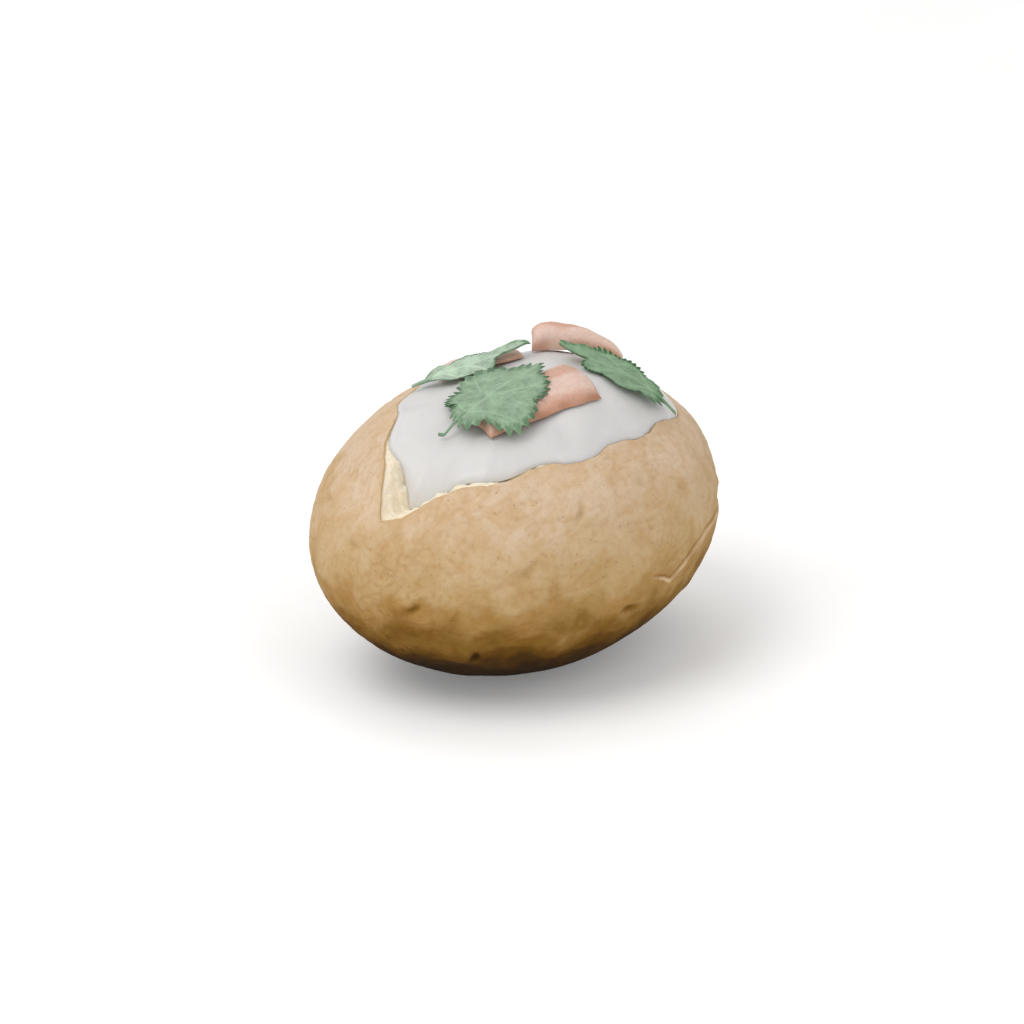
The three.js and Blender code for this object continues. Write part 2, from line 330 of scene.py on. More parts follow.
class Paint:
    """A short way to write a material's nodes."""

    def __init__(self, name):
        self.material = bpy.data.materials.new(name)
        self.material.use_nodes = True
        self.tree = self.material.node_tree
        self.shader = self.tree.nodes["Principled BSDF"]
        self.place = self.tree.nodes.new("ShaderNodeTexCoord").outputs["Object"]

    def set(self, **values):
        """Constant values of the shader's inputs."""
        for name, value in values.items():
            self.shader.inputs[name.replace("_", " ")].default_value = value

    def link(self, source, target):
        """Join a socket to another, or to the shader's input of that name."""
        if isinstance(target, str):
            target = self.shader.inputs[target]
        self.tree.links.new(source, target)

    def mark(self, name):
        """The numbers stored on the mesh's points under a name."""
        node = self.tree.nodes.new("ShaderNodeAttribute")
        node.attribute_name = name
        return node.outputs["Fac"]

    def noise(self, size, detail=3.0, roughness=0.5, squeeze=(1.0, 1.0, 1.0), distortion=0.0):
        """Noise from 0 to 1 whose hills are about `size` mm apart, or more along an axis squeezed below 1."""
        place = self.tree.nodes.new("ShaderNodeMapping")
        place.inputs["Scale"].default_value = squeeze
        self.link(self.place, place.inputs["Vector"])
        node = self.tree.nodes.new("ShaderNodeTexNoise")
        node.inputs["Scale"].default_value = 1 / (size * MM)
        node.inputs["Detail"].default_value = detail
        node.inputs["Roughness"].default_value = roughness
        node.inputs["Distortion"].default_value = distortion
        self.link(place.outputs["Vector"], node.inputs["Vector"])
        return node.outputs["Fac"]

    def cells(self, size, feature="F1"):
        """Distance to scattered points about `size` mm apart, or to the edges between them."""
        node = self.tree.nodes.new("ShaderNodeTexVoronoi")
        node.feature = feature
        node.inputs["Scale"].default_value = 1 / (size * MM)
        self.link(self.place, node.inputs["Vector"])
        return node.outputs["Distance"]

    def ramp(self, value, *stops):
        """Colours or grey levels at places along a value from 0 to 1."""
        node = self.tree.nodes.new("ShaderNodeValToRGB")
        node.color_ramp.interpolation = "EASE"
        elements = node.color_ramp.elements
        while len(elements) < len(stops):
            elements.new(0.5)
        for element, (place, colour) in zip(elements, stops):
            element.position = place
            element.color = (*colour, 1) if isinstance(colour, tuple) else (colour, colour, colour, 1)
        self.link(value, node.inputs["Fac"])
        return node.outputs["Color"]

    def mix(self, amount, first, second, blend="MIX"):
        """The first colour turned toward the second, a plain colour, by an amount."""
        node = self.tree.nodes.new("ShaderNodeMix")
        node.data_type = "RGBA"
        node.blend_type = blend
        factor, colour, other_colour = node.inputs[0], node.inputs[6], node.inputs[7]
        self.link(amount, factor)
        self.link(first, colour)
        other_colour.default_value = (*second, 1)
        return node.outputs[2]

    def maths(self, operation, first, second, clamp=False):
        """Two numbers, each a socket or a plain value, added, multiplied and so on."""
        node = self.tree.nodes.new("ShaderNodeMath")
        node.operation = operation
        node.use_clamp = clamp
        for socket, value in enumerate((first, second)):
            if isinstance(value, (float, int)):
                node.inputs[socket].default_value = value
            else:
                self.link(value, node.inputs[socket])
        return node.outputs[0]

    def bump(self, *layers):
        """Layers of (height, depth in mm, strength), one over the other."""
        below = None
        for height, depth, strength in layers:
            node = self.tree.nodes.new("ShaderNodeBump")
            node.inputs["Distance"].default_value = depth * MM
            node.inputs["Strength"].default_value = strength
            self.link(height, node.inputs["Height"])
            if below is not None:
                self.link(below, node.inputs["Normal"])
            below = node.outputs["Normal"]
        self.link(below, "Normal")


def skin_material():
    """Skin that darkens by height from pale buff to nearly black, partly real browning and partly painted
    shade toward the underside, with blotches, mottling and pores, painted shade in its creases and eye pits,
    and a painted highlight on the fold's edge.
    """
    paint = Paint("potato_skin")
    patches = paint.maths("SUBTRACT", paint.noise(13, 3, 0.55, distortion=0.4), 0.5)
    browning_and_shade = paint.maths("ADD", paint.mark("browning_and_shade"), paint.maths("MULTIPLY", patches, 0.35), clamp=True)
    # Pale buff to nearly black: real browning, and painted shade toward the underside.
    base = paint.ramp(
        browning_and_shade,
        (0.0, (0.665, 0.507, 0.36)),
        (0.22, (0.58, 0.418, 0.244)),
        (0.38, (0.52, 0.355, 0.172)),
        (0.5, (0.40, 0.238, 0.076)),
        (0.62, (0.235, 0.122, 0.019)),
        (0.70, (0.135, 0.063, 0.005)),
        (0.78, (0.062, 0.027, 0.002)),
        (0.87, (0.030, 0.013, 0.001)),
        (1.0, (0.018, 0.008, 0.001)),
    )
    blotches = paint.noise(9, 4, 0.6, distortion=0.6)
    base = paint.mix(paint.ramp(blotches, (0.42, 0.0), (0.62, 0.75)), base, (0.92, 0.84, 0.70), "MULTIPLY")
    mottle = paint.noise(1.6, 4, 0.65)
    base = paint.mix(paint.ramp(mottle, (0.3, 0.35), (0.55, 0.0)), base, (0.80, 0.68, 0.52), "MULTIPLY")
    pores = paint.cells(2.6)
    base = paint.mix(paint.ramp(pores, (0.06, 0.5), (0.14, 0.0)), base, (0.60, 0.46, 0.32), "MULTIPLY")
    # Painted shade in the creases and in the groove under the fold.
    base = paint.mix(paint.mark("crease_shade"), base, (0.80, 0.68, 0.52), "MULTIPLY")
    # Painted highlight along the upper edge of the fold.
    base = paint.mix(paint.mark("ledge"), base, (0.70, 0.51, 0.30))
    paint.link(base, "Base Color")
    dryness = paint.ramp(browning_and_shade, (0.45, 0.0), (0.75, 1.0))
    roughness = paint.mix(dryness, paint.ramp(mottle, (0.3, 0.70), (0.7, 0.58)), (0.95, 0.95, 0.95))
    paint.link(roughness, "Roughness")
    paint.set(Specular_IOR_Level=0.11)
    fine = paint.noise(0.55, 3, 0.6)
    wrinkles = paint.noise(1.7, 4, 0.55, squeeze=(0.45, 1.0, 1.2), distortion=0.5)
    pits = paint.ramp(pores, (0.05, 0.0), (0.16, 1.0))
    paint.bump((wrinkles, 0.45, 0.6), (fine, 0.12, 0.5), (pits, 0.15, 0.4))
    return paint.material


def flesh_material():
    """Crumbly cream-coloured flesh, brown at the skin's cut edge."""
    paint = Paint("potato_flesh")
    crumbs = paint.noise(1.4, 5, 0.65)
    base = paint.ramp(
        crumbs,
        (0.3, (0.78, 0.66, 0.47)),
        (0.5, (0.85, 0.745, 0.57)),
        (0.7, (0.90, 0.81, 0.67)),
    )
    base = paint.mix(paint.mark("skin_edge"), base, (0.50, 0.34, 0.17))
    paint.link(base, "Base Color")
    paint.set(
        Roughness=0.72, Specular_IOR_Level=0.3,
        Subsurface_Weight=0.35, Subsurface_Radius=(1.0, 0.75, 0.4), Subsurface_Scale=0.003,
    )
    paint.bump((crumbs, 0.5, 0.6), (paint.noise(0.5, 3, 0.6), 0.2, 0.5))
    return paint.material


def cream_material():
    """Cool white, soft and slightly glossy."""
    paint = Paint("sour_cream")
    cloud = paint.noise(12, 3, 0.5)
    base = paint.ramp(cloud, (0.35, (0.64, 0.625, 0.61)), (0.65, (0.665, 0.65, 0.635)))
    paint.link(base, "Base Color")
    paint.link(paint.ramp(paint.noise(5, 3, 0.5), (0.35, 0.34), (0.65, 0.44)), "Roughness")
    paint.set(
        Specular_IOR_Level=0.4,
        Subsurface_Weight=0.5, Subsurface_Radius=(1.0, 0.85, 0.7), Subsurface_Scale=0.004,
    )
    paint.bump((paint.noise(2.2, 3, 0.5), 0.25, 0.25), (paint.noise(0.6, 2, 0.5), 0.05, 0.3))
    return paint.material


def bacon_material():
    """Pale fat to pink lean, with a browner crisp rim, and painted shade on the underside and the near side.
    """
    paint = Paint("bacon")
    base = paint.ramp(
        paint.mark("lean"),
        (0.0, (0.72, 0.525, 0.44)),
        (0.35, (0.69, 0.465, 0.375)),
        (0.7, (0.66, 0.42, 0.325)),
        (1.0, (0.62, 0.365, 0.27)),
    )
    grain = paint.noise(0.9, 4, 0.6)
    base = paint.mix(paint.ramp(grain, (0.35, 0.3), (0.6, 0.0)), base, (0.82, 0.66, 0.56), "MULTIPLY")
    # Browner crisp rim, and painted shade on the strip's lower face and near side.
    base = paint.mix(paint.mark("crisp_and_shade"), base, (0.40, 0.175, 0.085))
    paint.link(base, "Base Color")
    paint.link(paint.ramp(grain, (0.3, 0.46), (0.7, 0.32)), "Roughness")
    paint.set(
        Specular_IOR_Level=0.45,
        Subsurface_Weight=0.15, Subsurface_Radius=(1.0, 0.4, 0.25), Subsurface_Scale=0.002,
    )
    paint.bump((grain, 0.18, 0.5), (paint.noise(0.4, 2, 0.5), 0.06, 0.4))
    return paint.material


def leaf_material(name, tint):
    """A leaf with a pale net and veins, and dark tips to its teeth."""
    paint = Paint(name)
    light = tuple(channel * 1.28 for channel in tint)
    dark = tuple(channel * 0.80 for channel in tint)
    vein = tuple(channel * 1.55 for channel in tint)
    tip = (tint[0] * 0.15, tint[1] * 0.30, tint[2] * 0.18)
    base = paint.ramp(paint.noise(3.2, 4, 0.6), (0.35, dark), (0.5, tint), (0.68, light))
    net = paint.cells(2.3, "DISTANCE_TO_EDGE")
    base = paint.mix(paint.ramp(net, (0.0, 0.35), (0.09, 0.0)), base, light)
    base = paint.mix(paint.mark("vein"), base, vein)
    base = paint.mix(paint.mark("tip"), base, tip)
    paint.link(base, "Base Color")
    paint.link(paint.ramp(paint.noise(1.5, 3, 0.5), (0.3, 0.58), (0.7, 0.46)), "Roughness")
    paint.set(
        Specular_IOR_Level=0.3,
        Subsurface_Weight=0.2, Subsurface_Radius=(0.5, 1.0, 0.3), Subsurface_Scale=0.001,
    )
    cells = paint.cells(0.7, "DISTANCE_TO_EDGE")
    paint.bump(
        (paint.ramp(net, (0.0, 0.0), (0.2, 1.0)), 0.18, 0.5),
        (paint.ramp(cells, (0.0, 0.0), (0.25, 1.0)), 0.08, 0.5),
    )
    return paint.material


def floor_material():
    """A pale matt studio floor that glows a little."""
    paint = Paint("pale_floor")
    grain = paint.noise(30, 2, 0.5)
    paint.link(paint.ramp(grain, (0.3, (0.88, 0.88, 0.875)), (0.7, (0.90, 0.90, 0.895))), "Base Color")
    paint.set(Roughness=0.9, Specular_IOR_Level=0.1)
    paint.set(Emission_Color=(1, 1, 1, 1), Emission_Strength=0.16)
    return paint.material


# ---- the potato ----------------------------------------------------------------------

# Eyes: degrees round, degrees of climb, width in mm and the turn of the brow in degrees.
EYES = [
    (228, 98, 3.4, 20), (262, 72, 2.8, -15), (196, 84, 3.0, 35), (286, 112, 2.6, -30), (318, 92, 3.2, 10),
    (247, 118, 2.2, 60), (172, 104, 2.6, 0), (212, 58, 2.6, 80), (15, 96, 3.2, 20), (48, 70, 2.8, -40),
    (84, 108, 3.0, 15), (122, 82, 3.4, 50), (146, 112, 2.4, -10), (300, 60, 2.8, 30), (350, 118, 2.4, 70),
]
EYE_PIT, EYE_BROW = 0.85, 0.45  # mm deep and high

# A fold of loose skin low on the near side: it runs round from `start` to `end` at `climb`, and sinks by
# `sink` over `length` short of `level`, all in degrees. It stands out by `height` mm.
FOLD = {"start": 267, "end": 326, "level": 298, "climb": 88.8, "sink": 10.5, "length": 22, "height": 0.6}
FOLD_TIP = {"angle": 276, "rise": 0.7}  # left of here the fold turns up again, by `rise` for each degree
FOLD_ROWS = {"crowding": 1.6, "spread": 0.055}  # extra rows of the mesh where the fold lies
MM_PER_DEGREE = 0.75  # of climb, along the skin

# Where the skin is painted darkest, as shade low at its left end, and where it is painted a little paler, as
# light on a band low on the near side, in degrees round and mm up.
SIDE_SHADE = {"angle": 176, "spread": 40, "height": 30, "depth": 0.15}
LIGHT_BAND = {"angle": 245, "spread": 55, "height": 21, "band": 9, "depth": 0.02}
DARKENING_FADE = 60.0  # mm up, where the darkening by height, partly real browning and partly painted shade, ends

# The lip is torn a little: how far, as a share of the half sizes, and how long each wave is in mm.
TEAR = [(0.0055, 5.5), (0.003, 2.2)]
# The thin skin's cut edge: steps inward and upward in mm from the lip, and how brown each is.
CUT_EDGE = [(0.15, 0.10, 1), (0.4, 0.08, 1), (0.6, -0.06, 0.9), (0.7, -0.3, 0.5), (0.85, -0.5, 0.15)]
FLESH_START = 0.975  # share of the opening, inside the skin's edge
FLESH_FINE = 0.42  # share of the flesh, inward from there, whose rows are close
CORE_ROWS = 10  # in the rest, under the cream
FLESH_DROP = 0.35  # mm from the frame's surface down to the flesh


def patch_offsets(points, angle, climb):
    """Sideways and upward distances in mm of points from a place on the skin."""
    step = 0.01
    centre = skin_point(np.array(angle), np.array(climb))
    ahead = skin_point(np.array(angle + step), np.array(climb)) - centre
    above = skin_point(np.array(angle), np.array(climb + step)) - centre
    ahead /= np.linalg.norm(ahead)
    above /= np.linalg.norm(above)
    away = points - centre
    return away @ ahead, away @ above, np.linalg.norm(away, axis=-1)


def eye_relief(points):
    """Height that the eyes give to the skin, and painted shade in their pits."""
    height = np.zeros(points.shape[:-1])
    dark = np.zeros(points.shape[:-1])
    for angle, climb, width, turn in EYES:
        side, up, away = patch_offsets(points, math.radians(angle), math.radians(climb))
        c, s = math.cos(math.radians(turn)), math.sin(math.radians(turn))
        along, over = side * c + up * s, up * c - side * s
        bent = over - 0.12 * along**2 / width
        pit = np.exp(-((along / width) ** 2) - (bent / (0.42 * width)) ** 2)
        brow = np.exp(-((along / (1.15 * width)) ** 2) - ((bent - 0.75 * width) / (0.42 * width)) ** 2)
        near = away < 4 * width
        height += near * (EYE_BROW * brow - EYE_PIT * pit)
        # Painted shade in each pit.
        dark += near * (0.75 * pit)
    return height, np.clip(dark, 0, 1)


def fold_relief(angle, climb, points):
    """A ledge of skin that stands out below a line and dies away downward, the painted highlight along its
    upper edge, and its groove, which is also darkened as painted shade.
    """
    turn = np.degrees(angle)
    sink = FOLD["sink"] * np.clip((FOLD["level"] - turn) / FOLD["length"], 0, 1) ** 2
    sink -= FOLD_TIP["rise"] * np.maximum(FOLD_TIP["angle"] - turn, 0)
    line = FOLD["climb"] - sink + 0.7 * noise(points, 9, 3) + 0.25 * noise(points, 3.5, 4)
    below = (line - np.degrees(climb)) * MM_PER_DEGREE
    fade = 1 - smooth_step(FOLD["end"] - 20, FOLD["end"], turn)
    ends = smooth_step(FOLD["start"], FOLD["start"] + 4, turn) * fade
    ledge = smooth_step(-0.1, 0.3, below) * np.exp(-np.maximum(below, 0) / 3.5)
    groove = bell(below + 0.45, 0.5)
    shine_width = 0.42 + 1.1 * bell(turn - FOLD_TIP["angle"] - 1, 3.5)
    shine = smooth_step(-0.15, 0.1, below) * smooth_step(shine_width + 0.2, shine_width - 0.1, below)
    shine *= np.clip(0.85 + 0.6 * noise(points, 5, 16), 0.2, 1)
    return ends * (FOLD["height"] * ledge - 0.3 * groove), ends * shine, ends * groove


def wrinkle_relief(points):
    """Soft creases of dried skin that run along the potato, most of all near its two ends."""
    warp = flat_points(noise(points, 13, 20), noise(points, 13, 21), noise(points, 13, 22))
    bent = points + 1.6 * warp
    long_ones = 1 - np.abs(noise(bent * np.array([0.30, 1.0, 1.0]), 3.4, 5)) * 2.6
    short_ones = 1 - np.abs(noise(bent * np.array([0.45, 1.0, 1.0]), 1.7, 6)) * 2.4
    ends = smooth_step(0.45, 0.95, np.abs(points[..., 0]) / HALF_LENGTH)
    where = np.clip(0.30 + 0.9 * noise(points, 21, 7) + 0.45 * ends, 0.05, 1.0)
    creases = np.maximum(long_ones, 0) ** 1.5 * 0.26 + np.maximum(short_ones, 0) ** 1.5 * 0.12
    return -where * creases


def skin_rows(lowest):
    """Rows of the skin, from 0 at the lowest climb to 1 at the lip, set closer where the fold lies."""
    even = np.linspace(0, 1, 2000)
    typical_lip = 2.35
    fold_place = (math.radians(FOLD["climb"] - FOLD["sink"] / 2) - lowest) / (typical_lip - lowest)
    density = 1 + FOLD_ROWS["crowding"] * bell(even - fold_place, FOLD_ROWS["spread"])
    rows = np.concatenate([[0], np.cumsum(density[1:] + density[:-1])])
    return np.interp(np.linspace(0, rows[-1], SKIN_ROWS), rows, even)


def rim_circle(angle):
    """Places on a circle that noise round the opening is read from."""
    return flat_points(HALF_LENGTH * np.cos(angle), HALF_LENGTH * np.sin(angle))


def flesh_shares():
    """Shares of the opening at which the rows of the flesh lie, from its edge to near the middle."""
    fine = FLESH_START * (1 - FLESH_FINE * np.linspace(0, 1, FLESH_ROWS)[1:, None])
    core = FLESH_START * (1 - FLESH_FINE) * (1 - np.linspace(0, 1, CORE_ROWS + 2)[1:-1, None])
    return np.concatenate([fine, core])


def skin_browning_and_shade(angle, share, skin, eye_pit_shade):
    """From 0 where the skin is pale to 1 where it is nearly black: partly real browning, and partly painted
    shade and painted light.
    """
    # Darker toward the underside: partly real browning, partly painted shade under the potato.
    browning_and_shade = 1 - skin[..., 2] / DARKENING_FADE
    # Uneven browning, and painted shade in the eyes' pits.
    browning_and_shade += 0.06 * layered_noise(skin, 15, 3, 15) + 0.18 * eye_pit_shade
    browning_and_shade += 0.10 * smooth_step(0.985, 1.0, share)
    turn = np.degrees(angle)
    # Painted shade low at the left end.
    side_shade = bell(turn - SIDE_SHADE["angle"], SIDE_SHADE["spread"])
    browning_and_shade += SIDE_SHADE["depth"] * side_shade * smooth_step(SIDE_SHADE["height"], 0, skin[..., 2])
    # Painted light: a little paler on a band low on the near side.
    light_band = bell(turn - LIGHT_BAND["angle"], LIGHT_BAND["spread"]) * bell(skin[..., 2] - LIGHT_BAND["height"], LIGHT_BAND["band"])
    return np.clip(browning_and_shade - LIGHT_BAND["depth"] * light_band, 0, 1)


def make_potato():
    """Skin from the flat spot up to the lip, its cut edge, and the flesh inside the opening."""
    angle = np.linspace(0, 2 * math.pi, AROUND, endpoint=False)[None, :]
    rim = rim_circle(angle)
    torn = sum(far * noise(rim, size, 1 + i) for i, (far, size) in enumerate(TEAR))
    top = math.pi - np.arcsin(opening_radius(angle) + torn)
    flat = math.acos(CENTRE_HEIGHT / HALF_HEIGHT)
    share = skin_rows(flat)[:, None]
    climb = flat + (top - flat) * share
    skin = skin_point(angle, climb)
    lip = skin[-1]
    inward = flat_points(-np.cos(angle[0]), -np.sin(angle[0]))
    edge = np.stack([lip + inward * step + np.array([0, 0, rise]) for step, rise, brown in CUT_EDGE])
    shares = flesh_shares()
    flesh = crater_point(angle, shares, lip[None])
    flesh[..., 2] -= FLESH_DROP

    grid = np.concatenate([skin, edge, flesh])
    normal = grid_normals(grid)
    eyes, eye_pit_shade = eye_relief(skin)
    fold, ledge, groove = fold_relief(np.broadcast_to(angle, climb.shape), climb, skin)
    wrinkles = wrinkle_relief(skin)
    lumps = 0.45 * noise(skin, 24, 8) + 0.28 * noise(skin, 11, 9)
    off_the_flat = smooth_step(0.0, 0.12, share)
    near_lip = smooth_step(0.93, 1.0, share)
    relief = (lumps * (1 - near_lip) + wrinkles + eyes + fold) * off_the_flat
    grid[:SKIN_ROWS] += normal[:SKIN_ROWS] * relief[..., None]
    flesh_from = SKIN_ROWS + len(CUT_EDGE)
    grid[SKIN_ROWS:flesh_from] += relief[-1][None, :, None] * normal[SKIN_ROWS - 1][None]
    crumbs = 0.75 * noise(flesh, 3.4, 12) + 0.5 * noise(flesh, 1.5, 13)
    crumbs += 0.9 * np.maximum(noise(flesh, 7, 14), 0)
    inside = 0.25 + 0.75 * smooth_step(FLESH_START, FLESH_START - 0.045, shares)
    grid[flesh_from:, :, 2] += crumbs * inside

    def on_skin(values):
        marks = np.zeros(grid.shape[:-1])
        marks[:SKIN_ROWS] = values
        return np.concatenate([[values.flat[0]], marks.ravel(), [0]])

    skin_edge = np.zeros(grid.shape[:-1])
    skin_edge[SKIN_ROWS:flesh_from] = np.array([brown for step, rise, brown in CUT_EDGE])[:, None]
    marks = {
        "browning_and_shade": on_skin(skin_browning_and_shade(angle, share, skin, eye_pit_shade)),
        # Painted shade in the creases and in the fold's groove.
        "crease_shade": on_skin(np.clip(-wrinkles * 1.6 + 0.8 * groove, 0, 1)),
        # Painted highlight along the fold's upper edge.
        "ledge": on_skin(ledge),
        "skin_edge": np.concatenate([[0], skin_edge.ravel(), [0]]),
    }
    middle = crater_point(0.0, 0.0) - (0, 0, FLESH_DROP)
    points = np.concatenate([[[0, 0, 0]], grid.reshape(-1, 3), [middle]])
    row_material = np.repeat(np.arange(len(grid) - 1) >= SKIN_ROWS, AROUND).astype(int)
    face_material = np.concatenate([row_material, np.zeros(AROUND, int), np.ones(AROUND, int)])
    materials = [skin_material(), flesh_material()]
    piece = make_mesh("potato_baked", points, loft_faces(len(grid), AROUND), marks, materials, face_material)
    use_piece(piece, ["potato"])


# ---- the sour cream ------------------------------------------------------------------

# A narrow rim of flesh that stays bare on the near side, past the bare tip.
NEAR_RIM = {"angle": 224, "spread": 18, "depth": 0.035}
CREAM_SINK = 0.3  # mm from the frame's surface of the flesh down to the cream's underside
CREAM_BULGE = 0.03  # how much the dome swells over its edge
UNDER_ROWS = 10


def cream_relief(points):
    """Low folds that a spoon leaves in the cream."""
    warp = flat_points(noise(points, 22, 30), noise(points, 22, 31))
    bent = points + 6 * warp
    folds = np.abs(noise(bent * np.array([0.8, 1.1, 0.5]), 21, 32))
    return -0.7 * bell(folds, 0.35) + 0.35 * noise(points, 19, 33) - 0.1


def make_cream():
    """A dome that fills the opening out to a slightly uneven edge."""
    angle = np.linspace(0, 2 * math.pi, CREAM_AROUND, endpoint=False)[None, :]
    rim = rim_circle(angle)
    wobble = 1 + 0.010 * noise(rim, 9, 34) + 0.004 * noise(rim, 4, 35)
    bare_rim = NEAR_RIM["depth"] * bell(np.degrees(angle) - NEAR_RIM["angle"], NEAR_RIM["spread"])
    reach = (cream_reach(angle) - bare_rim) * wobble
    sink = np.array([0, 0, CREAM_SINK])
    edge = crater_point(angle, reach) - sink
    under = crater_point(angle, reach * np.linspace(0.12, 1, UNDER_ROWS)[:, None]) - sink
    turn = np.linspace(0, math.pi / 2, CREAM_ROWS + 1)[1:-1, None]
    shares = np.cos(turn)
    bulge = 1 + CREAM_BULGE * np.sin(turn * 2) ** 2 * shares**8
    height = dome_height(angle, shares, edge[..., 2])
    dome = flat_points(edge[..., 0] * shares * bulge, edge[..., 1] * shares * bulge, height)
    dome[..., 2] += cream_relief(dome) * smooth_step(1.0, 0.9, shares)
    grid = np.concatenate([under, dome])
    points = np.concatenate([[crater_point(0.0, 0.0) - sink], grid.reshape(-1, 3), [dome[-1].mean(axis=0)]])
    faces = loft_faces(len(grid), CREAM_AROUND)
    piece = make_mesh("sour_cream_dollop", points, faces, materials=[cream_material()])
    use_piece(piece, ["sour_cream"])


# ---- the bacon -----------------------------------------------------------------------

STRIP_SPACING = 40.0  # mm between the strips' places in the noise, so that no two are alike
EDGE_SPACING = 9  # mm from a strip's middle to its edges' places in the noise
STRIP_SINK = 0.15  # mm that a strip lies lower than in the frame
STRIP_FULLNESS = 0.92  # share of a strip's thickness in the frame
STRIP_EDGE = 0.08  # mm of thickness left at its very edge
# Painted shade: how dark the lower face and the near side of a strip are painted.
UNDERSIDE_SHADE, NEAR_SIDE_SHADE = 0.55, 0.2


def sheet_faces(rows, columns):
    """Faces of a closed flat body whose lower and upper grids share no points."""
    count = rows * columns
    faces = []
    for i in range(rows - 1):
        for j in range(columns - 1):
            a = i * columns + j
            b, c, d = a + columns, a + columns + 1, a + 1
            faces.append((a, d, c, b))
            faces.append((count + a, count + b, count + c, count + d))
    border = list(range(columns))
    border += [i * columns + columns - 1 for i in range(1, rows)]
    border += [(rows - 1) * columns + j for j in range(columns - 2, -1, -1)]
    border += [i * columns for i in range(rows - 2, 0, -1)]
    for here, there in zip(border, border[1:] + border[:1]):
        faces.append((here, there, count + there, count + here)[::-1])
    return faces


def strip_lean(flat, across, seed):
    """How much a place on a strip is lean meat and not fat: uneven streaks that run along it."""
    drift = 0.30 * noise(flat * np.array([0.5, 1.0, 1.0]), 7, 46 + seed)
    streaks = np.sin(4.6 * (across + drift) + seed * 1.7)
    marbling = 0.5 * noise(flat * np.array([0.45, 1.6, 1.0]), 2.2, 47)
    return smooth_step(-0.55, 0.75, streaks + marbling)


def make_bacon(name, strip, seed, material):
    """A strip over the cream: a lower face, and an upper face that rounds over to its sides and ends."""
    steps, side_steps = np.linspace(-1, 1, BACON_ROWS), np.linspace(-1, 1, BACON_COLUMNS)
    u, v = np.meshgrid(steps, side_steps, indexing="ij")
    along, across = np.sin(u * math.pi / 2), np.sin(v * math.pi / 2)
    half_length, half_width = strip["length"] / 2, strip["width"] / 2
    place = seed * STRIP_SPACING
    flat = flat_points(along * half_length, across * half_width, place)
    side_line = flat_points(along * half_length, np.sign(across) * EDGE_SPACING, place)
    end_line = flat_points(np.sign(along) * EDGE_SPACING, across * half_width, place)
    side_wave, end_wave = 0.055 * noise(side_line, 6, 41), 0.03 * noise(end_line, 4, 42)
    s = along * (1 + end_wave) * half_length
    w = across * (1 + side_wave * np.abs(across)) * half_width + bow_of(strip, along)
    heading = math.radians(strip["heading"])
    x = strip["centre"][0] + s * math.cos(heading) - w * math.sin(heading)
    y = strip["centre"][1] + s * math.sin(heading) + w * math.cos(heading)
    lean = strip_lean(flat, across, seed)
    ripple = 0.35 * noise(flat * np.array([1.0, 0.35, 1.0]), 5.5, 43) + 0.12 * noise(flat, 2.2, 44)
    bottom = cream_height(x, y) + strip_lift(strip, along, across) - STRIP_SINK
    roundness = np.sqrt(np.clip((1 - along**8) * (1 - across**6), 0, 1))
    relief = 0.28 * (0.5 - lean) + ripple
    top = bottom + roundness * (strip["thickness"] * STRIP_FULLNESS + relief) + STRIP_EDGE
    points = np.concatenate([flat_points(x, y, bottom).reshape(-1, 3), flat_points(x, y, top).reshape(-1, 3)])
    rim = np.maximum(smooth_step(0.80, 1.0, np.abs(across)), smooth_step(0.94, 1.0, np.abs(along)))
    crisp_and_shade = np.clip(rim * (0.55 + 0.5 * noise(flat, 5, 45)), 0, 1)
    # Painted shade along the near side.
    near = smooth_step(-0.72, -1.0, across)
    crisp_and_shade = np.clip(np.maximum(crisp_and_shade, NEAR_SIDE_SHADE * near), 0, 1)
    marks = {
        "lean": np.concatenate([lean.ravel(), lean.ravel()]),
        # Painted shade over the whole lower face.
        "crisp_and_shade": np.concatenate([np.full(crisp_and_shade.size, UNDERSIDE_SHADE), crisp_and_shade.ravel()]),
    }
    faces = sheet_faces(BACON_ROWS, BACON_COLUMNS)
    piece = make_mesh(name + "_strip", points, faces, marks, [material])
    use_piece(piece, [name])


# ---- the leaves ----------------------------------------------------------------------

# A grid in plan that reaches past the potato, in mm, for the height at which a leaf lies.
BED_STEP = 0.5
BED_REACH = 7  # mm round a place in which something may hold the leaf up
BED_X = np.arange(-66, 66.01, BED_STEP)
BED_Y = np.arange(-54, 54.01, BED_STEP)


def make_leaf_bed(strip):
    """Height, on a grid in plan, at which a leaf of limited bend lies over the cream and a strip."""
    x, y = np.meshgrid(BED_X, BED_Y, indexing="ij")
    heading = math.radians(strip["heading"])
    dx, dy = x - strip["centre"][0], y - strip["centre"][1]
    along = (dx * math.cos(heading) + dy * math.sin(heading)) / (strip["length"] / 2)
    across = -dx * math.sin(heading) + dy * math.cos(heading) - bow_of(strip, along)
    across = across / (strip["width"] / 2)
    on_strip = (np.abs(along) <= 1) & (np.abs(across) <= 1)
    cream = cream_height(x, y)
    support = cream + on_strip * (strip_lift(strip, along, across) + strip["thickness"])
    reach = round(BED_REACH / BED_STEP)
    bed = support.copy()
    padded = np.pad(support, reach, mode="edge")
    for i in range(2 * reach + 1):
        for j in range(2 * reach + 1):
            away = ((i - reach) ** 2 + (j - reach) ** 2) * BED_STEP**2
            moved = padded[i : i + support.shape[0], j : j + support.shape[1]]
            bed = np.maximum(bed, moved - LEAF_STIFFNESS * away / 2)
    return bed


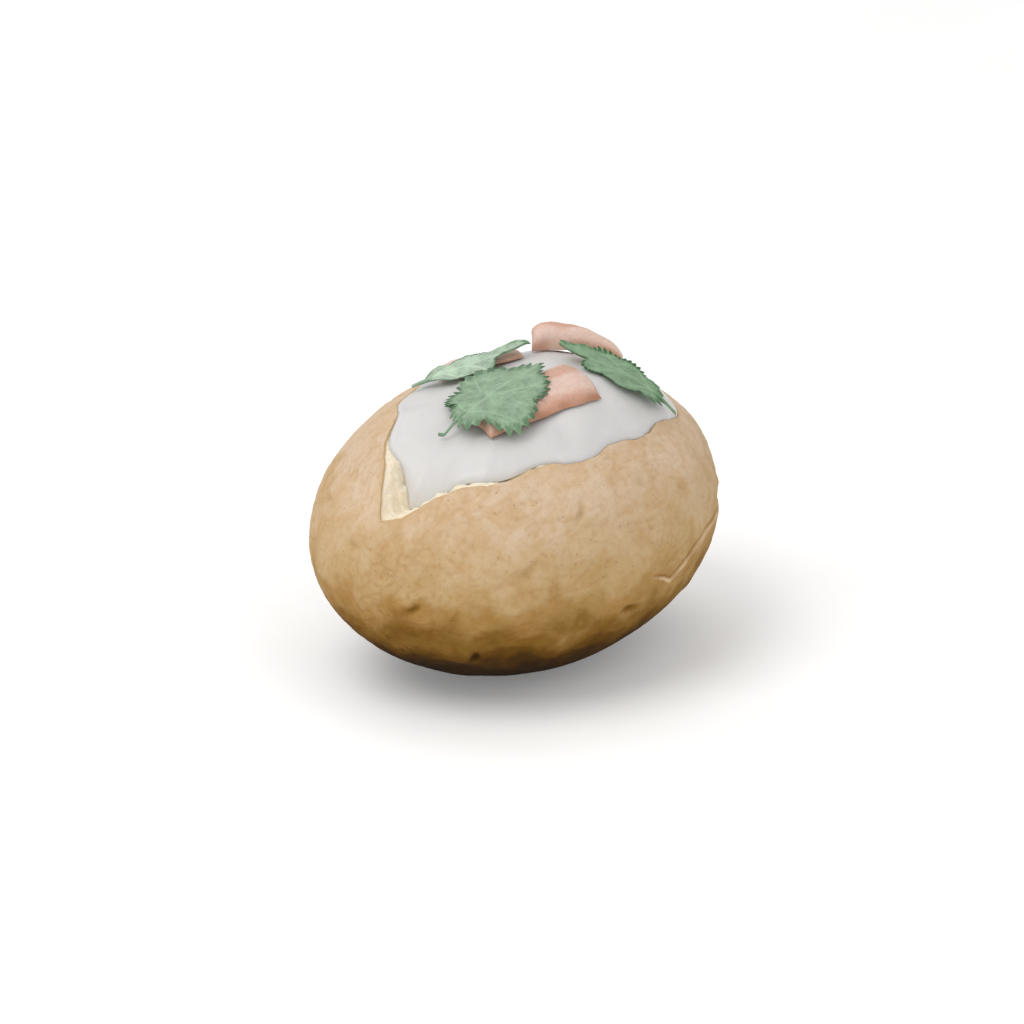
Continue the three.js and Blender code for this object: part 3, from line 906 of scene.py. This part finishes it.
def bed_height(bed, x, y):
    """Height of the bed at places between the points of its grid."""
    i = np.clip((x - BED_X[0]) / BED_STEP, 0, len(BED_X) - 2.001)
    j = np.clip((y - BED_Y[0]) / BED_STEP, 0, len(BED_Y) - 2.001)
    i0, j0 = i.astype(int), j.astype(int)
    a, b = i - i0, j - j0
    low = bed[i0, j0] * (1 - b) + bed[i0, j0 + 1] * b
    high = bed[i0 + 1, j0] * (1 - b) + bed[i0 + 1, j0 + 1] * b
    return low * (1 - a) + high * a


LEAF_THICKNESS = 0.35
LEAF_SINK = 0.1  # mm that a leaf lies lower than its gap
LEAF_EDGE = 0.02  # mm of half the thickness left at its very edge
LEAF_SPACING = 30.0  # mm between the leaves' places in the noise
LOBES, LOBE_DEPTH = 6, 0.15
TIP_SIDES, TIP_SPREAD = 0.5, 0.28  # radians from the tip to where a leaf narrows most, and how widely
TEETH = 42
STALK_OVERLAP = 3.2  # mm from a leaf's edge in to where its stalk starts
STALK_ROOT = 4  # mm of stalk besides the length in LEAVES
# Ribs to the lobes beside the base and beside the tip: how far along the middle rib they start.
SIDE_RIBS = {60: 0.14, 120: 0.40}


def leaf_reach(leaf, turn):
    """Distance from a leaf's middle to its edge, at a turn round from its base: an oval cut into lobes."""
    from_axis = turn + math.radians(leaf["base"] - leaf["heading"])
    long, short = leaf["length"] / 2, leaf["width"] / 2
    oval = long * short / np.hypot(short * np.cos(from_axis), long * np.sin(from_axis))
    lobes = 1 - LOBE_DEPTH * (1 - np.abs(np.cos(LOBES * turn / 2))) ** 1.6
    pointed = 1 - leaf["point"] * bell(np.abs(turn - math.pi) - TIP_SIDES, TIP_SPREAD)
    return oval * lobes * pointed


def leaf_teeth(leaf, turn):
    """Share of the reach that the teeth leave, and how near each place is to a dark tooth's tip."""
    place = TEETH * turn / (2 * math.pi) + 0.3 * np.sin(3 * turn + leaf["seed"])
    tooth = place % 1
    size = 0.5 + 0.5 * np.sin(12.9 * np.floor(place) + leaf["seed"])
    rise = np.where(tooth < 0.68, tooth / 0.68, (1 - tooth) / 0.32)
    tip = smooth_step(0.2, 0.55, rise)
    return 1 - (0.07 + 0.05 * size) * (1 - rise), tip * (0.5 + 0.5 * size)


def rib_nearness(points, start, end, width):
    """How near points are to a rib that thins out from its start to its end."""
    span = end - start
    along = np.clip((points - start) @ span / (span @ span), 0, 1)
    away = np.linalg.norm(points - start - along[..., None] * span, axis=-1)
    return bell(away, width * (1 - 0.6 * along)), bell(away, 1.5)


def leaf_veins(leaf, points):
    """How near places, in plan, are to the ribs that run from the base to the tip and the lobes."""
    middle = np.array(leaf["middle"])

    def toward_edge(degrees, share):
        turn = np.array(math.radians(degrees))
        direction = turn + math.radians(leaf["base"])
        return middle + leaf_reach(leaf, turn) * share * np.array([np.cos(direction), np.sin(direction)])

    base, tip = toward_edge(0, 0.97), toward_edge(180, 0.93)
    ribs, dips = rib_nearness(points, base, tip, 0.55)
    for degrees, start in SIDE_RIBS.items():
        for side in (degrees, -degrees):
            rib, dip = rib_nearness(points, base + (tip - base) * start, toward_edge(side, 0.9), 0.42)
            ribs, dips = np.maximum(ribs, rib), np.maximum(dips, dip)
    return ribs, dips


def leaf_stalk(leaf, bed, start):
    """Points and faces of the stalk, a thin tapering tube that bends as it leaves the leaf."""
    steps, sides = STALK_STEPS, STALK_SIDES
    base = math.radians(leaf["base"])
    length = leaf["stalk"] + STALK_ROOT
    along = np.linspace(0, 1, steps)
    direction = base + leaf["stalk_bend"] * along**1.5
    ds = length / (steps - 1)
    ahead = np.concatenate([[0], np.cumsum(np.cos(direction[1:]) * ds)])
    aside = np.concatenate([[0], np.cumsum(np.sin(direction[1:]) * ds)])
    x = leaf["middle"][0] + start * math.cos(base) + ahead
    y = leaf["middle"][1] + start * math.sin(base) + aside
    z = bed_height(bed, x, y) + TOPPING_GAP + LEAF_THICKNESS / 2 + 0.3 * smooth_step(0, 0.35, along)
    radius = (0.6 - 0.2 * along) * (0.3 + 0.7 * smooth_step(0, 0.4, along)) + 0.08 * bell(along - 1, 0.12)
    ring = np.linspace(0, 2 * math.pi, sides, endpoint=False)
    side = flat_points(-np.sin(direction), np.cos(direction))
    points = (
        flat_points(x, y, z)[:, None]
        + (radius[:, None] * np.cos(ring))[..., None] * side[:, None]
        + (radius[:, None] * np.sin(ring))[..., None] * np.array([0, 0, 1.0])
    )
    faces = []
    for i in range(steps - 1):
        for j in range(sides):
            a, b = i * sides + j, i * sides + (j + 1) % sides
            faces.append((a, b, b + sides, a + sides))
    faces.append(tuple(range(sides))[::-1])
    faces.append(tuple((steps - 1) * sides + j for j in range(sides)))
    return points.reshape(-1, 3), faces


def make_leaf(name, leaf):
    """A thin toothed blade that lies over the cream and a strip of bacon, and its stalk."""
    bed = make_leaf_bed(BACON[leaf["over"]])
    turn = np.linspace(0, 2 * math.pi, LEAF_AROUND, endpoint=False)[None, :]
    share = np.linspace(0, 1, LEAF_ROWS + 1)[1:, None]
    teeth, tip = leaf_teeth(leaf, turn)
    reach = leaf_reach(leaf, turn) * (1 - (1 - teeth) * share**4)
    direction = turn + math.radians(leaf["base"])
    x = leaf["middle"][0] + reach * share * np.cos(direction)
    y = leaf["middle"][1] + reach * share * np.sin(direction)
    ribs, dips = leaf_veins(leaf, np.stack([x, y], axis=-1))
    flat = flat_points(x, y, leaf["seed"] * LEAF_SPACING)
    z = bed_height(bed, x, y) + TOPPING_GAP - LEAF_SINK
    z = z + 0.20 * noise(flat, 3.2, 50) * share + 0.30 * (1 - dips) - 0.12 * ribs
    z = z + share**5 * (0.5 + 0.9 * noise(flat, 6.5, 51))
    z = z + leaf["tip_lift"] * share**2 * bell(turn - math.pi, 0.7)
    half = LEAF_THICKNESS / 2 * np.sqrt(np.clip(1 - share**10, 0, 1)) + LEAF_EDGE
    lower = flat_points(x, y, z - half)
    upper = flat_points(x, y, z + half)[::-1]
    first = [*leaf["middle"], lower[0, :, 2].mean()]
    last = [*leaf["middle"], upper[-1, :, 2].mean()]
    grid = np.concatenate([lower, upper])
    points = np.concatenate([[first], grid.reshape(-1, 3), [last]])
    faces = loft_faces(len(grid), LEAF_AROUND)
    dark = smooth_step(0.84, 0.92, share) * (0.2 + 0.8 * tip) * (0.95 + 0.6 * noise(flat, 9, 52))
    dark = np.clip(dark, 0, 1)

    stalk_points, stalk_faces = leaf_stalk(leaf, bed, float(reach[-1, 0]) - STALK_OVERLAP)
    stalk_faces = [tuple(i + len(points) for i in face) for face in stalk_faces]

    def on_all(values, stalk):
        both = np.concatenate([values, values[::-1]]).ravel()
        return np.concatenate([[values[0, 0]], both, [values[0, 0]], np.full(len(stalk_points), stalk)])

    marks = {"vein": on_all(0.55 * ribs, 0.3), "tip": on_all(dark, 0.35)}
    piece = make_mesh(
        name + "_blade", np.concatenate([points, stalk_points]), faces + stalk_faces, marks,
        [leaf_material(name, leaf["tint"])],
    )
    use_piece(piece, [name])


# ---- floor, lights and camera --------------------------------------------------------


def make_floor():
    """A wide flat square, staged so that it is no part of the model."""
    size = 3.0
    corners = [(-size, -size, 0), (size, -size, 0), (size, size, 0), (-size, size, 0)]
    mesh = bpy.data.meshes.new("floor")
    mesh.from_pydata(corners, [], [(0, 1, 2, 3)])
    mesh.materials.append(floor_material())
    floor = bpy.data.objects.new("floor", mesh)
    bpy.context.scene.collection.objects.link(floor)
    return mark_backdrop(floor)


def toward(azimuth, elevation):
    """Direction from the object to a place round it; azimuth 0 is in front, at -Y."""
    a, e = math.radians(azimuth), math.radians(elevation)
    return Vector((math.sin(a) * math.cos(e), -math.cos(a) * math.cos(e), math.sin(e)))


def add_light(name, azimuth, elevation, distance, size, power):
    """A round white lamp, aimed at the frame's origin; lengths in metres and power in watts."""
    light = bpy.data.lights.new(name, "AREA")
    light.shape = "DISK"
    light.size = size
    light.energy = power
    lamp = bpy.data.objects.new(name, light)
    lamp.location = toward(azimuth, elevation) * distance
    lamp.rotation_euler = toward(azimuth, elevation).to_track_quat("Z", "Y").to_euler()
    bpy.context.scene.collection.objects.link(lamp)


def add_lights():
    """Three lamps and a plain white surrounding."""
    add_light("key", -100, 55, 1.2, 0.8, 5.3)
    add_light("fill", -12, 40, 1.4, 1.0, 2.2)
    add_light("back", 160, 60, 1.2, 1.0, 2.0)
    world = bpy.data.worlds.new("studio")
    world.use_nodes = True
    backdrop = world.node_tree.nodes["Background"]
    backdrop.inputs["Color"].default_value = (1, 1, 1, 1)
    backdrop.inputs["Strength"].default_value = 0.64
    bpy.context.scene.world = world
    bpy.context.scene.view_settings.view_transform = "Standard"


def add_camera():
    """The photo's view: far away with a very long lens, aimed near the potato's middle."""
    data = bpy.data.cameras.new("camera")
    data.lens = LENS
    data.sensor_width = SENSOR
    camera = bpy.data.objects.new("camera", data)
    back = toward(CAMERA_AZIMUTH, CAMERA_ELEVATION)
    turn = back.to_track_quat("Z", "Y")
    right, up = turn @ Vector((1, 0, 0)), turn @ Vector((0, 1, 0))
    middle = Vector(SHIFT + np.array([0, 0, CENTRE_HEIGHT])) + right * AIM["right"] + up * AIM["up"]
    camera.location = (middle + back * (VIEW_WIDTH * LENS / SENSOR)) * MM
    camera.rotation_euler = turn.to_euler()
    bpy.context.scene.collection.objects.link(camera)
    bpy.context.scene.camera = camera


add_camera()
add_lights()
make_floor()
make_potato()
make_cream()
bacon = bacon_material()
for seed, (strip_name, strip) in enumerate(BACON.items()):
    make_bacon(strip_name, strip, seed, bacon)
for leaf_name, leaf in LEAVES.items():
    make_leaf(leaf_name, leaf)
